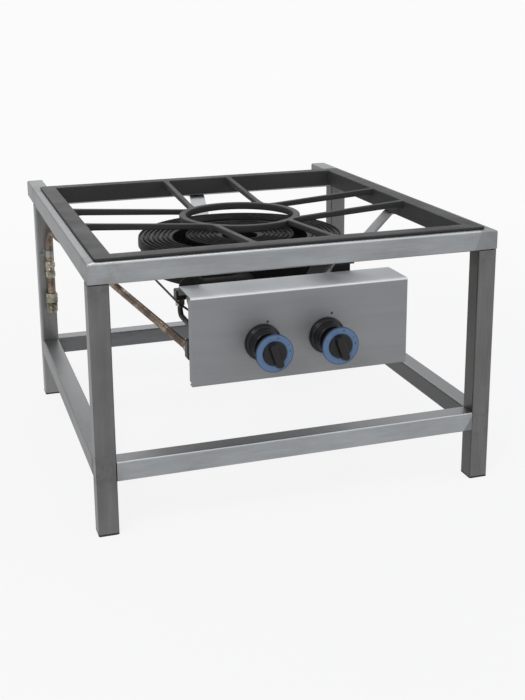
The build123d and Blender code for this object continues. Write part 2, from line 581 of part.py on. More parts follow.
for side, knob_x in zip(("left", "right"), KNOB_X):
    out = -1 if side == "left" else 1
    face = Plane((knob_x, tap_front, KNOB_Z), x_dir=(1, 0, 0), z_dir=(0, -1, 0))
    panel_face = Plane((knob_x, PANEL_Y, KNOB_Z), x_dir=(1, 0, 0), z_dir=(0, -1, 0))
    with BuildPart() as gas_tap:
        with BuildSketch(face):
            Circle(TAP_R)
        extrude(amount=-TAP_L)
        chamfer(gas_tap.edges().group_by(Axis.Y)[0], 1.5)
        with BuildSketch(Plane((knob_x, tap_back, manifold_z), x_dir=(1, 0, 0), z_dir=(0, -1, 0))):
            Circle(TAIL_R)
        extrude(amount=-TAIL_L)
        with BuildSketch(Plane((knob_x, feed_y, KNOB_Z), x_dir=(0, 1, 0), z_dir=(out, 0, 0))):
            Circle(FEED_R + 2)
        extrude(amount=TAP_R + 6)
        with BuildSketch(face):
            Circle(SPINDLE_R + RUNNING)
        extrude(amount=-TAP_BORE, mode=Mode.SUBTRACT)
        with BuildSketch(face.offset(-TAP_BORE)):
            Circle(PIN_R + RUNNING)
        extrude(amount=-(TAP_L - TAP_BORE - 3), mode=Mode.SUBTRACT)
    save(gas_tap, f"gas_tap_{side}")

    with BuildPart() as pin:
        with BuildSketch(face.offset(-SPINDLE_IN)):
            Circle(PIN_HEAD_R)
        extrude(amount=-PIN_HEAD_T)
        with BuildSketch(face.offset(-SPINDLE_IN)):
            Circle(PIN_R)
        extrude(amount=-PIN_L)
    save(pin, f"tap_push_pin_{side}")

    with BuildPart() as spindle:
        with BuildSketch(face.offset(-SPINDLE_IN)):
            Circle(SPINDLE_R)
        extrude(amount=SPINDLE_IN + SHEET + SPINDLE_REACH)
        with BuildSketch(panel_face.offset(HUB_START)):
            with Locations((0, SPINDLE_FLAT + SPINDLE_R)):
                Rectangle(2 * SPINDLE_R, 2 * SPINDLE_R)
        extrude(amount=SPINDLE_REACH - HUB_START, mode=Mode.SUBTRACT)
    save(spindle, f"tap_spindle_{side}")

    with BuildPart() as bezel:
        with BuildSketch(panel_face):
            Circle(BEZEL_R)
        extrude(amount=BEZEL_L, taper=12)
        with BuildSketch(panel_face.offset(BEZEL_L)):
            Circle(BEZEL_NECK_R)
        extrude(amount=BEZEL_NECK_L - BEZEL_L, taper=4)
        with BuildSketch(panel_face):
            Circle(SPINDLE_R + 1)
        extrude(amount=BEZEL_NECK_L, mode=Mode.SUBTRACT)
    save(bezel, f"knob_bezel_{side}")

    with BuildPart() as dial:
        with BuildSketch(panel_face.offset(DIAL_START + DIAL_T)):
            Circle(DIAL_R)
            Circle(GRIP_R + SLIP, mode=Mode.SUBTRACT)
        extrude(amount=DIAL_RING_T)
    save(dial, f"knob_dial_{side}")

    with BuildPart() as knob:
        with BuildSketch(panel_face.offset(HUB_START)):
            Circle(HUB_R)
        extrude(amount=DIAL_START - HUB_START)
        with BuildSketch(panel_face.offset(DIAL_START)):
            Circle(DIAL_R)
        extrude(amount=DIAL_T)
        with BuildSketch(panel_face.offset(DIAL_START + DIAL_T)):
            Circle(GRIP_R)
        extrude(amount=GRIP_BASE - DIAL_START - DIAL_T)
        with BuildSketch(panel_face.offset(GRIP_BASE)):
            turn = radians(KNOB_TURN_REST)
            with Locations((POINTER / 2 * cos(turn), POINTER / 2 * sin(turn))):
                SlotOverall(2 * GRIP_R - 1.2 + POINTER, GRIP_BAR, rotation=KNOB_TURN_REST)
        extrude(amount=KNOB_REACH - GRIP_BASE, taper=4)
        fillet(knob.edges().group_by(Axis.Y)[0], 1.5)
        with BuildSketch(panel_face.offset(HUB_START)):
            Circle(SPINDLE_R + RUNNING)
            with Locations((0, SPINDLE_FLAT + RUNNING + SPINDLE_R)):
                Rectangle(2 * SPINDLE_R + 1, 2 * SPINDLE_R, mode=Mode.SUBTRACT)
        extrude(amount=SPINDLE_REACH - HUB_START + RUNNING, mode=Mode.SUBTRACT)
    save(knob, f"knob_{side}")


# ---------------------------------------------------------------- mixing tubes
def mouth(x, y, z, sign):
    """The plane of a mixing tube's mouth, facing away from the tube."""
    return Plane((x, y, z), x_dir=(0, 1, 0), z_dir=(sign, 0, 0))


def mixing_tube(name, face, points, bend):
    """A cast tube swept along its route, with a bell mouth."""
    with BuildPart() as tube:
        with BuildLine() as route:
            FilletPolyline(*points, radius=bend)
        with BuildSketch(face):
            Circle(MIX_R)
            Circle(MIX_R - MIX_WALL, mode=Mode.SUBTRACT)
        sweep(path=route.wires()[0])
        with BuildSketch(face):
            Circle(MIX_BELL)
            Circle(MIX_R - MIX_WALL, mode=Mode.SUBTRACT)
        extrude(amount=-MIX_BELL_L)
        rim = tube.edges().filter_by(GeomType.CIRCLE).filter_by(lambda e: abs(e.radius - MIX_BELL) < 0.01)
        inner_rim = rim.sort_by(Axis(face.origin, face.z_dir))[0]
        chamfer(inner_rim, MIX_BELL - MIX_R - 0.5)
    save(tube, name)


inner_rise_y = CENTRE_Y - inner_mid
mouths = {
    "outer": mouth(OUTER_MOUTH, OUTER_MIX_Y, OUTER_MIX_Z, -1),
    "inner": mouth(INNER_MOUTH, INNER_MIX_Y, KNOB_Z, 1),
}
mixing_tube("mixing_tube_outer", mouths["outer"], [
    (OUTER_MOUTH, OUTER_MIX_Y, OUTER_MIX_Z),
    (OUTER_MIX_X, OUTER_MIX_Y, OUTER_MIX_Z),
    (OUTER_MIX_X, BOSS_FACE, OUTER_MIX_Z),
], OUTER_BEND)
mixing_tube("mixing_tube_inner", mouths["inner"], [
    (INNER_MOUTH, INNER_MIX_Y, KNOB_Z),
    (0, INNER_MIX_Y, KNOB_Z),
    (0, inner_rise_y, KNOB_Z),
    (0, inner_rise_y, BURNER_BASE - INNER_BOSS_H),
], INNER_BEND)

# ---------------------------------------------------------------- shutters, injectors and their feed tubes
for name, face in mouths.items():
    with BuildPart() as shutter:
        with BuildSketch(face.offset(SHUTTER_OPEN)):
            Circle(MIX_BELL - 1)
            Circle(INJECTOR_R + RUNNING, mode=Mode.SUBTRACT)
        extrude(amount=SHUTTER_T)
    save(shutter, f"air_shutter_{name}")

    with BuildPart() as injector:
        with BuildSketch(face.offset(-INJECTOR_IN)):
            Circle(INJECTOR_R)
            Circle(INJECTOR_ORIFICE, mode=Mode.SUBTRACT)
        extrude(amount=INJECTOR_IN + HOLDER_GAP)
    save(injector, f"injector_{name}")

    with BuildPart() as holder:
        with BuildSketch(face.offset(HOLDER_GAP)):
            Rectangle(HOLDER, HOLDER)
        extrude(amount=HOLDER)
        chamfer(holder.edges(), 1.5)
    save(holder, f"injector_holder_{name}")


def bent_tube(name, points, radius, wall, bend):
    """A round tube along straight runs joined by tangent bends."""
    with BuildPart() as tube:
        with BuildLine() as route:
            FilletPolyline(*points, radius=bend)
        start = Vector(*points[0])
        with BuildSketch(Plane(start, z_dir=Vector(*points[1]) - start)):
            Circle(radius)
            if wall:
                Circle(radius - wall, mode=Mode.SUBTRACT)
        sweep(path=route.wires()[0])
    save(tube, name)


holder_x = {"outer": OUTER_MOUTH - HOLDER_GAP - HOLDER / 2, "inner": INNER_MOUTH + HOLDER_GAP + HOLDER / 2}
tap_side = TAP_R + 6
bent_tube("feed_tube_outer", [
    (KNOB_X[0] - tap_side, feed_y, KNOB_Z),
    (holder_x["outer"], feed_y, KNOB_Z),
    (holder_x["outer"], feed_y, KNOB_Z + 21),
    (holder_x["outer"], OUTER_MIX_Y, KNOB_Z + 21),
    (holder_x["outer"], OUTER_MIX_Y, OUTER_MIX_Z - HOLDER / 2),
], FEED_R, FEED_WALL, 10)
bent_tube("feed_tube_inner", [
    (KNOB_X[1] + tap_side, feed_y, KNOB_Z),
    (holder_x["inner"], feed_y, KNOB_Z),
    (holder_x["inner"], INNER_MIX_Y - HOLDER / 2, KNOB_Z),
], FEED_R, FEED_WALL, 14)

nut_faces = [
    (Plane((KNOB_X[0] - tap_side, feed_y, KNOB_Z), x_dir=(0, 1, 0), z_dir=(-1, 0, 0)), FEED_R, 7.0, 9.0),
    (Plane((KNOB_X[1] + tap_side, feed_y, KNOB_Z), x_dir=(0, 1, 0), z_dir=(1, 0, 0)), FEED_R, 7.0, 9.0),
    (Plane((holder_x["outer"], OUTER_MIX_Y, OUTER_MIX_Z - HOLDER / 2), x_dir=(1, 0, 0), z_dir=(0, 0, -1)),
     FEED_R, 7.0, 9.0),
    (Plane((holder_x["inner"], INNER_MIX_Y - HOLDER / 2, KNOB_Z), x_dir=(1, 0, 0), z_dir=(0, -1, 0)),
     FEED_R, 7.0, 9.0),
    (Plane((elbow_x, manifold_y + ELBOW / 2, supply_z), x_dir=(-1, 0, 0), z_dir=(0, 1, 0)),
     PIPE_R, ELBOW / 2 - SLIP, 11.0),
]
with BuildPart() as pipe_nuts:
    for plane, bore_r, hex_r, length in nut_faces:
        with BuildSketch(plane):
            RegularPolygon(hex_r, 6)
            Circle(bore_r, mode=Mode.SUBTRACT)
        extrude(amount=length)
save(pipe_nuts, "pipe_nuts")

# ---------------------------------------------------------------- gas supply down the back left leg
pipe_x, pipe_top = PIPE_KNEE[0] - HALF_W, STAND_H - PIPE_KNEE[1]
union_top = pipe_top - UNION_DROP
union_low = union_top - UNION_L
nut_top = union_low - INLET_TUBE_L
nut_low = nut_top - INLET_NUT_L
inlet_low = nut_low - INLET_L
pipe_y = LEG_BACK - TUBE - PIPE_OFF_LEG
elbow_back = manifold_y + ELBOW / 2
bent_tube("supply_pipe", [
    (elbow_x, elbow_back, supply_z),
    (elbow_x, elbow_back + 20, supply_z),
    (pipe_x, pipe_y, pipe_top),
    (pipe_x, pipe_y, union_top),
], PIPE_R, PIPE_WALL, 24)

drop = Plane((pipe_x, pipe_y, 0))
with BuildPart() as pipe_union:
    with BuildSketch(drop.offset(union_low)):
        Circle(NUT_R - 2)
        Circle(PIPE_R - PIPE_WALL, mode=Mode.SUBTRACT)
    extrude(amount=UNION_L)
    for z in (union_low + 2, union_top - 12):
        with BuildSketch(drop.offset(z)):
            RegularPolygon(NUT_R, 6)
            Circle(PIPE_R - PIPE_WALL, mode=Mode.SUBTRACT)
        extrude(amount=10)
save(pipe_union, "pipe_union")

with BuildPart() as inlet_tube:
    with BuildSketch(drop.offset(nut_top)):
        Circle(PIPE_R)
        Circle(PIPE_R - PIPE_WALL, mode=Mode.SUBTRACT)
    extrude(amount=INLET_TUBE_L)
save(inlet_tube, "inlet_tube")

with BuildPart() as inlet_nut:
    with BuildSketch(drop.offset(nut_low)):
        RegularPolygon(NUT_R + 2, 6)
        Circle(PIPE_R - PIPE_WALL, mode=Mode.SUBTRACT)
    extrude(amount=INLET_NUT_L)
    chamfer(inlet_nut.edges().group_by(Axis.Z)[-1].filter_by(GeomType.LINE), 1.2)
save(inlet_nut, "inlet_nut")

with BuildPart() as gas_inlet:
    with BuildSketch(drop.offset(inlet_low)):
        Circle(INLET_R)
        Circle(PIPE_R - PIPE_WALL, mode=Mode.SUBTRACT)
    extrude(amount=INLET_L)
save(gas_inlet, "gas_inlet")

clip_z = union_top + 8
leg_face = LEG_BACK - TUBE
with BuildPart() as pipe_clip:
    with BuildSketch(drop.offset(clip_z)):
        Circle(PIPE_R + 1.2)
        with Locations((-PIPE_R, PIPE_OFF_LEG / 2)):
            Rectangle(2.4, PIPE_OFF_LEG)
        with Locations((-PIPE_R - 5, PIPE_OFF_LEG - 0.6)):
            Rectangle(12, 1.2)
        Circle(PIPE_R, mode=Mode.SUBTRACT)
    extrude(amount=12)
save(pipe_clip, "pipe_clip")

# ---------------------------------------------------------------- thermocouples
probe_z = BURNER_TOP - PROBE_LOW
outer_probe = (PROBE_X, CENTRE_Y - sqrt(PROBE_RAD[0] ** 2 - PROBE_X ** 2))
inner_probe = (KNOB_X[1], CENTRE_Y - sqrt(PROBE_RAD[1] ** 2 - KNOB_X[1] ** 2))
lead_z = KNOB_Z + LEAD_RISE
under = BURNER_BASE - LEAD_UNDER
passing = [(x, tap_back + behind, KNOB_Z + above) for x, behind, above in LEAD_PASS]
bent_tube("thermocouple_outer", [
    (KNOB_X[0], tap_back, lead_z),
    (KNOB_X[0], tap_back + LEAD_OUT[0], lead_z),
    *passing,
    (outer_probe[0], outer_probe[1], passing[-1][2]),
    (outer_probe[0], outer_probe[1], probe_z),
], PROBE_R, 0, LEAD_R)
bent_tube("thermocouple_inner", [
    (KNOB_X[1], tap_back, lead_z),
    (KNOB_X[1], tap_back + LEAD_OUT[1], lead_z),
    (KNOB_X[1], tap_back + LEAD_OUT[1] + 20, under),
    (inner_probe[0], inner_probe[1], under),
    (inner_probe[0], inner_probe[1], probe_z),
], PROBE_R, 0, LEAD_R - 1)
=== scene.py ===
# %% [markdown]
# # A stock pot range
# This notebook dresses a stock pot range, a low gas stand for very large pots. The bare solids
# come from a imported CAD model, so every size here is in metres and in that model's frame: the
# floor is z = 0, and the front with its knobs looks towards -Y. First comes the model.

# %% Load the imported model
from math import cos, pi, radians, sin

import bmesh
import bpy
from mathutils import Matrix, Vector


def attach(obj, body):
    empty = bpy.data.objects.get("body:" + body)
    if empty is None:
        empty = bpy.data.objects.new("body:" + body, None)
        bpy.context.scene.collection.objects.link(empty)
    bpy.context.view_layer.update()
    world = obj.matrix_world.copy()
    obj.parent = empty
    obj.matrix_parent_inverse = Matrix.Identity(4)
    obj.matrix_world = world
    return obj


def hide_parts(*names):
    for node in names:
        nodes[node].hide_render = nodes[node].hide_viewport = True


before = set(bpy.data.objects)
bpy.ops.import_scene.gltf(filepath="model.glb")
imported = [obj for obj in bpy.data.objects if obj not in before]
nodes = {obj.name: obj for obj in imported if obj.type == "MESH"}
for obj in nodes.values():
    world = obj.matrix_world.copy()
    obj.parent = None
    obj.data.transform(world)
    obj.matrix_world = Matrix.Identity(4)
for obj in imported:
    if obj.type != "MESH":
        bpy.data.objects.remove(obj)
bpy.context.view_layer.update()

# %% [markdown]
# Some places on the range are needed by more than one cell, such as the legs, where the finish has
# its ground patches and the corners have their welds. Typed twice they would drift apart, so they
# are named once, here.

# %% Shared places
leg_x, leg_front, leg_back = 0.295, -0.305, 0.283
rail_z, stretcher_z = 0.385, 0.096
half_tube = 0.015
burner_y = -0.011
crown_radii = {"outer_crown": (0.114, 0.172), "inner_crown": (0.030, 0.092)}
crown_cap, rib_height, rib_pitch, rib_half = 0.352, 0.003, 0.008, 0.0018
panel_face, panel_fold = -0.314, 0.338
knob_axes = {"left": (-0.061, 0.263), "right": (0.0375, 0.263)}
knob_rest = -70.0
print("crowns", list(crown_radii), "knobs", list(knob_axes))

# %% [markdown]
# The camera comes before the finishes, because they are judged through it. A lens solved from the
# photograph's straight edges would usually need a tilted, shifted view camera. Here the turn, the
# tilt and a very small roll go into the camera's axes, and a small shift centres the stand in the
# frame.

# %% Camera
turn, tilt, roll = 0.3004, 0.2418, -0.0121
eye = Vector((-0.51925, -1.69740, 0.75049))
ahead = Vector((sin(turn) * cos(tilt), cos(turn) * cos(tilt), -sin(tilt)))
right = ahead.cross(Vector((0, 0, 1))).normalized()
up = right.cross(ahead)
right, up = cos(roll) * right + sin(roll) * up, cos(roll) * up - sin(roll) * right
lens = bpy.data.cameras.new("camera")
lens.sensor_fit = "HORIZONTAL"
lens.sensor_width = 36.0
lens.lens = 73.14
lens.shift_x = 0.0395
lens.shift_y = -0.180
lens.clip_end = 50
camera = bpy.data.objects.new("camera", lens)
camera.matrix_world = Matrix.Translation(eye) @ Matrix((right, up, -ahead)).transposed().to_4x4()
bpy.context.scene.collection.objects.link(camera)
bpy.context.scene.camera = camera
print("camera", tuple(round(v, 3) for v in eye))

# %% [markdown]
# A shader could be wired by hand in the editor, or by long lists of nodes and links in a script.
# Shader maths is easier to read as plain arithmetic, so one small class wraps a socket and
# overloads the operators.


# %% Shader arithmetic
class Wire:
    """A shader socket that adds and multiplies like a number."""

    def __init__(self, bench, socket):
        self.bench = bench
        self.socket = socket

    def __add__(self, other):
        return maths("ADD", self, other)

    def __radd__(self, other):
        return maths("ADD", other, self)

    def __sub__(self, other):
        return maths("SUBTRACT", self, other)

    def __rsub__(self, other):
        return maths("SUBTRACT", other, self)

    def __mul__(self, other):
        return maths("MULTIPLY", self, other)

    def __rmul__(self, other):
        return maths("MULTIPLY", other, self)

    def __abs__(self):
        return maths("ABSOLUTE", self)

    def smallest(self, other):
        return maths("MINIMUM", self, other)

    def largest(self, other):
        return maths("MAXIMUM", self, other)

    def diagonal(self, other):
        """The distance that two offsets at right angles make."""
        return maths("POWER", self * self + other * other, 0.5)

    def swing(self, amount):
        """A noise about 0.5 as a noise about 0, of this strength."""
        return (self - 0.5) * amount

    def fade(self, low, high):
        """0 at low, 1 at high, smooth between; low may be above high."""
        return self.bench.node("ShaderNodeMapRange", {"interpolation_type": "SMOOTHSTEP"},
                               {"Value": self, "From Min": low, "From Max": high})


def maths(operation, *values):
    """One Math node on wires and numbers, at least one of them a wire."""
    bench = next(value.bench for value in values if isinstance(value, Wire))
    return bench.node("ShaderNodeMath", {"operation": operation}, dict(enumerate(values)))


print("wires ready")

# %% [markdown]
# Nodes live in a tree, which belongs to a material or to the world. Each kind of node could have a
# helper of its own, but they would all do the same, so one method of a second class makes any
# node: its settings come first, then the values or the links of its sockets.


# %% Node bench
class Bench:
    """A node tree, and the one method that makes its nodes."""

    def __init__(self, tree):
        self.tree = tree

    def node(self, kind, settings=None, sockets=None, out=0):
        node = self.tree.nodes.new(kind)
        for name, value in (settings or {}).items():
            setattr(node, name, value)
        for name, value in (sockets or {}).items():
            if isinstance(value, Wire):
                self.tree.links.new(value.socket, node.inputs[name])
            else:
                node.inputs[name].default_value = value
        return Wire(self, node.outputs[out])

    def parts(self, vector):
        """The X, Y and Z of a vector, as three wires."""
        first = self.node("ShaderNodeSeparateXYZ", None, {0: vector})
        return [Wire(self, out) for out in first.socket.node.outputs]


print("bench ready")

# %% [markdown]
# A finish is a material with the patterns that feed its Principled shader. All patterns are laid
# out in the object's own coordinates, which for these pieces are metres in the model's frame.
# Unwrapped pictures would do too, but then every piece would need its own unwrapping.


# %% One finish
class Finish(Bench):
    """A material with its Principled shader, and the place of each point of its surface."""

    def __init__(self, name, **constants):
        self.material = bpy.data.materials.new(name)
        self.material.use_nodes = True
        super().__init__(self.material.node_tree)
        self.shader = self.tree.nodes["Principled BSDF"]
        for socket, value in constants.items():
            self.shader.inputs[socket.replace("_", " ")].default_value = value
        self.place = self.node("ShaderNodeTexCoord", out="Object")
        self.x, self.y, self.z = self.parts(self.place)

    def facing(self, axis):
        """How far the surface looks along X, Y or Z, from -1 to 1."""
        return self.parts(self.node("ShaderNodeNewGeometry", out="Normal"))["XYZ".index(axis)]

    def away(self, point):
        """The distance from a point."""
        return self.node("ShaderNodeVectorMath", {"operation": "DISTANCE"},
                         {0: self.place, 1: point}, out="Value")

    def stretched(self, axis, share):
        """The place with one axis squeezed, which draws a noise out along that axis."""
        scale = tuple(share if name == axis else 1.0 for name in "XYZ")
        return self.node("ShaderNodeVectorMath", {"operation": "MULTIPLY"},
                         {0: self.place, 1: scale})

    def noise(self, scale, detail, roughness, place=None):
        """Clouds about 0.5; scale is how many lie on a metre."""
        return self.node("ShaderNodeTexNoise", None,
                         {"Vector": place or self.place, "Scale": scale, "Detail": detail,
                          "Roughness": roughness})

    def blend(self, mask, first, second):
        """A colour that goes from first to second as mask goes from 0 to 1."""
        mask_in, first_in, second_in, colour_out = 0, 6, 7, 2
        return self.node("ShaderNodeMix", {"data_type": "RGBA"},
                         {mask_in: mask, first_in: first, second_in: second}, out=colour_out)

    def bump(self, height, depth, strength):
        """A normal from a height; depth is in metres."""
        return self.node("ShaderNodeBump", None, {"Height": height, "Distance": depth,
                                                  "Strength": strength})

    def feed(self, **wires):
        """Link wires to the shader's sockets, such as Base_Color; the material is finished."""
        for name, wire in wires.items():
            self.tree.links.new(wire.socket, self.shader.inputs[name.replace("_", " ")])
        return self.material


print("finish ready")

# %% [markdown]
# Steel, iron and soot are all near grey, so their colours are written as one number and a little
# warmth, which shows at once how light each one is beside the others; three numbers for each would
# hide that. A mask says where a colour shows, and where several masks meet, the largest holds.


# %% Greys and masks
def grey(value, warmth=0.0):
    """A grey, a little redder for a warmth above 0 and bluer below."""
    return (value * (1 + warmth), value, value * (1 - warmth), 1.0)


def either(masks):
    """The largest of several masks at each place."""
    most = masks[0]
    for mask in masks[1:]:
        most = most.largest(mask)
    return most


print("a cool mid grey", grey(0.3, -0.04))

# %% [markdown]
# Stainless tube is drawn and then brushed with a belt along its length. An anisotropic shader
# could fake that, but real brushing shows as fine lines of changing roughness, so noise is
# stretched along the tube and drives roughness, colour and a very shallow bump. Large soft noise
# adds handling marks. Welds at the corners are ground off with a disc across the brushing, which
# leaves cloudy patches. Faces that look up get a tone of their own, which is painted light, and
# where an edge tone is given, the rounded edge where that top turns down to the front gets it as
# a bright line, a painted highlight.


# %% Brushed stainless
def brushed_steel(name, along, tone, top, rough, joints=(), cool=0.028, seam=None, edge=None,
                  inside=0.0):
    steel = Finish(name, Metallic=1.0)
    lines = steel.noise(900, 3, 0.7, steel.stretched(along, 0.012))
    bands = steel.noise(60, 5, 0.72, steel.stretched(along, 0.12))
    marks = steel.noise(9, 4, 0.6)
    shade = lines.swing(0.5) + bands.swing(1.0) + marks.swing(0.75) + 0.5
    worn = rough + lines.swing(0.16) + marks.swing(0.14)
    darker, lighter, ground_off = tone * 0.66, tone * 1.34, tone * 0.62
    colour = steel.blend(shade, grey(darker, 0.012 - cool), grey(lighter, -cool))
    lift = steel.facing("Z")
    # Painted light: faces that look up take the lighter top tone, or the edge tone where one is
    # given.
    painted_top_light = lift.fade(0.25, 0.9) * (0.85 + bands.swing(0.4))
    colour = steel.blend(painted_top_light, colour, grey(edge or top, -cool * 0.7))
    # Painted highlight: the rounded edge keeps the edge tone, and only the flat top takes the top
    # tone.
    if edge:
        colour = steel.blend(lift.fade(0.88, 0.985), colour, grey(top, -cool * 0.7))
    # Painted shade: faces that look in towards the middle of the stand go near black with a warm
    # tint.
    if inside:
        inwards = (steel.facing("X") * steel.x).fade(-0.12, -0.22)
        painted_shade = inwards * (0.6 + bands * 0.5) * inside
        colour = steel.blend(painted_shade, colour, grey(0.04, 0.06))
    height = lines
    # Past a slanted line the colour goes to a darker tone and the roughness rises a little.
    if seam:
        past = past_seam(steel, seam)
        colour = steel.blend(past * 0.8, colour, grey(seam["tone"], -cool))
        worn = worn + past * 0.05
    if joints:
        ground = steel.noise(55, 4, 0.65).fade(0.35, 0.75)
        near = either([steel.away(point).fade(reach, reach * 0.55) for point, reach in joints])
        patch = near * ground
        colour = steel.blend(patch * 0.45, colour, grey(ground_off, 0.05))
        worn = worn + patch * 0.10
        height = lines * (1 - near * 0.7) + patch * 0.6
    return steel.feed(Base_Color=colour, Roughness=worn, Normal=steel.bump(height, 0.00006, 0.5))


def past_seam(steel, seam):
    """0 before a slanted line, 1 past it; x is the line's place at the height z."""
    offset = steel.x - seam["x"] - (steel.z - seam["z"]) * seam["slope"]
    return offset.fade(-0.0006, 0.0010)


def corners(height, reach):
    """The four legs at one height, each with the reach of its ground patch."""
    return [((side * leg_x, y, height), reach) for side in (-1, 1) for y in (leg_front, leg_back)]


top_corners, low_corners = corners(rail_z, 0.05), corners(stretcher_z, 0.04)
print("ground patches", len(top_corners + low_corners))

# %% [markdown]
# One recipe serves every tube, and only its numbers change: the tone of the sides, the tone of the
# top and the roughness. The front rail and the front stretcher face the light, so their tones are
# set the lightest, which is painted light. Past a slanted line near their right ends the steel is
# darker and a little rougher. Faces of the legs and side stretchers that look inwards go near
# black with a warm tint, which is painted shade. The back left leg has a lighter copy of the leg
# steel, painted light; the right burner arm has a darker copy of the flat bar steel, and the front
# and left arms and the panel hanger a near-black one, both painted shade.

# %% Steel of each tube
# Painted light: the tubes that face the light get the lighter side and top tones.
rail_x = brushed_steel("rail_stainless_along_x", "X", 0.315, 0.64, 0.36, top_corners, 0.042,
                       seam={"x": 0.2775, "z": rail_z, "slope": 0.36, "tone": 0.240})
rail_y = brushed_steel("rail_stainless_along_y", "Y", 0.160, 0.165, 0.38, top_corners, 0.036)
brace_x = brushed_steel("stretcher_stainless_along_x", "X", 0.325, 0.25, 0.38, low_corners, 0.042,
                        seam={"x": 0.2740, "z": stretcher_z, "slope": 0.60, "tone": 0.170},
                        edge=0.74)
brace_back = brushed_steel("back_stretcher_stainless", "X", 0.145, 0.20, 0.42, low_corners)
brace_y = brushed_steel("stretcher_stainless_along_y", "Y", 0.135, 0.21, 0.40, low_corners,
                        inside=0.6)
leg_z = brushed_steel("leg_stainless", "Z", 0.150, 0.30, 0.40, top_corners + low_corners, 0.004,
                      inside=0.72)
# Painted light: a lighter copy of the leg steel for the back left leg.
painted_light_leg = brushed_steel("back_left_leg_painted_light", "Z", 0.225, 0.30, 0.40,
                        top_corners + low_corners, 0.004, inside=0.72)
strap_steel = brushed_steel("flat_bar_stainless", "Y", 0.52, 0.60, 0.32)
# Painted shade: a darker, rougher copy of the flat bar steel for the right burner arm.
right_arm_painted_shade = brushed_steel("side_bar_painted_shade", "X", 0.26, 0.27, 0.55)
# Painted shade: near-black flat bar steel for the front and left arms and the panel hanger.
shaded_steel = brushed_steel("flat_bar_painted_shade", "Y", 0.030, 0.036, 0.55)
print("brushed finishes", 10)

# %% [markdown]
# The pan grid and the burner are sand castings, coated black. Sand leaves a fine grain and shallow
# lumps, and the coating wears thin and grey on the top faces where pots slide. Displacing the mesh
# would be heavy, so grain and lumps are a bump, and the wear follows the faces that look up. Black
# iron shines little, so the specular level is low.


# %% Cast iron
def cast_iron(name, tone, worn_tone, rough, wear):
    iron = Finish(name, Metallic=0.0, Specular_IOR_Level=0.10)
    grain = iron.noise(1100, 4, 0.65)
    lumps = iron.noise(140, 3, 0.5)
    stains = iron.noise(14, 4, 0.6)
    wear_and_sheen = iron.facing("Z").fade(0.6, 1.0) * (stains * 0.7 + grain * 0.3).fade(0.30, 0.66) * wear
    shade = stains.swing(0.5) + grain.swing(0.4) + 0.5
    darker, lighter = tone * 0.65, tone * 1.4
    colour = iron.blend(shade, grey(darker, 0.01), grey(lighter))
    colour = iron.blend(wear_and_sheen, colour, grey(worn_tone, -0.01))
    rough_skin = rough + grain.swing(0.2) - wear_and_sheen * 0.12
    relief = lumps * 0.7 + grain * 0.3
    return iron.feed(Base_Color=colour, Roughness=rough_skin,
                     Normal=iron.bump(relief, 0.0004, 0.55))


grid_iron = cast_iron("grid_cast_iron", 0.044, 0.070, 0.60, 0.9)
burner_iron = cast_iron("burner_cast_iron", 0.007, 0.011, 0.68, 0.4)
print("castings: grid and burner")

# %% [markdown]
# The crowns are the same iron, drilled with rows of small flame ports in the valleys between their
# ribs. Hundreds of modelled holes would be heavy, and at this size they only show as dark dots, so
# the angle and the radius about the burner's axis place them in the colour, as painted shade, and
# in the bump. The valleys hold soot and are darker than the ribs, which the height tells apart.


# %% Flame ports
def ported_iron(name, base, radii):
    port_spacing, port_radius, port_core = 0.0085, 0.0019, 0.0012
    iron = Finish(name, Metallic=0.0, Specular_IOR_Level=0.12)
    grain = iron.noise(1100, 4, 0.65)
    stains = iron.noise(18, 4, 0.6)
    east, north = iron.x, iron.y - burner_y
    angle = maths("ARCTAN2", north, east)
    radius = east.diagonal(north)
    rings = []
    for ring in radii:
        count = round(2 * pi * ring / port_spacing)
        turns = angle * (count / (2 * pi))
        aside = abs(maths("FRACT", turns) - 0.5) * (2 * pi * ring / count)
        rings.append(aside.diagonal(radius - ring).fade(port_radius, port_core))
    holes = either(rings)
    shade = stains.swing(0.6) + grain.swing(0.4) + 0.5
    darker, lighter, soot, painted_port_shade = base * 0.8, base * 2.2, base * 0.45, base * 0.12
    colour = iron.blend(shade, grey(darker, 0.01), grey(lighter))
    ridge = iron.z.fade(crown_cap, crown_cap + 0.0026)
    colour = iron.blend(ridge, grey(soot), colour)
    # Painted shade: each flame port is a near-black dot.
    colour = iron.blend(holes, colour, grey(painted_port_shade))
    return iron.feed(Base_Color=colour, Roughness=0.46 + grain.swing(0.2) + holes * 0.3,
                     Normal=iron.bump(grain * 0.3 - holes, 0.0006, 0.6))


port_rings = [outside - rib_half - rib_pitch / 2 - n * rib_pitch
              for inside, outside in crown_radii.values() for n in (1, 3, 5)]
crown_iron = ported_iron("crown_cast_iron", 0.0056, port_rings)
print("rows of flame ports", len(port_rings))

# %% [markdown]
# The knobs are moulded in black plastic with a faint texture, their bezels in a glossier black,
# and the tube plugs in a duller one. A plain glossy shader looks like glass, so a fine noise
# breaks the shine.


# %% Plastics
def moulded(name, colour, rough, shine):
    plastic = Finish(name, Specular_IOR_Level=shine)
    grain = plastic.noise(1500, 2, 0.5)
    haze = plastic.noise(60, 3, 0.6)
    darker, lighter = (tuple(c * share for c in colour) + (1.0,) for share in (0.88, 1.12))
    sheen = rough + haze.swing(0.18) + grain.swing(0.06)
    return plastic.feed(Base_Color=plastic.blend(haze, darker, lighter), Roughness=sheen,
                        Normal=plastic.bump(grain, 0.00004, 0.5))


black_plastic = moulded("knob_black", (0.011, 0.009, 0.009), 0.30, 0.30)
collar_black = moulded("collar_black", (0.010, 0.009, 0.010), 0.12, 0.26)
plug_plastic = moulded("plug_black", (0.02, 0.02, 0.021), 0.6, 0.4)
print("plastics", 3)

# %% [markdown]
# Each dial is a thin blue ring printed with a darker edge line and a few small marks for off,
# light, high and low. The marks are plain dots and bars. They're worked out from the angle and the
# radius about the knob's own axis, so that they stay on the ring however it's seen.


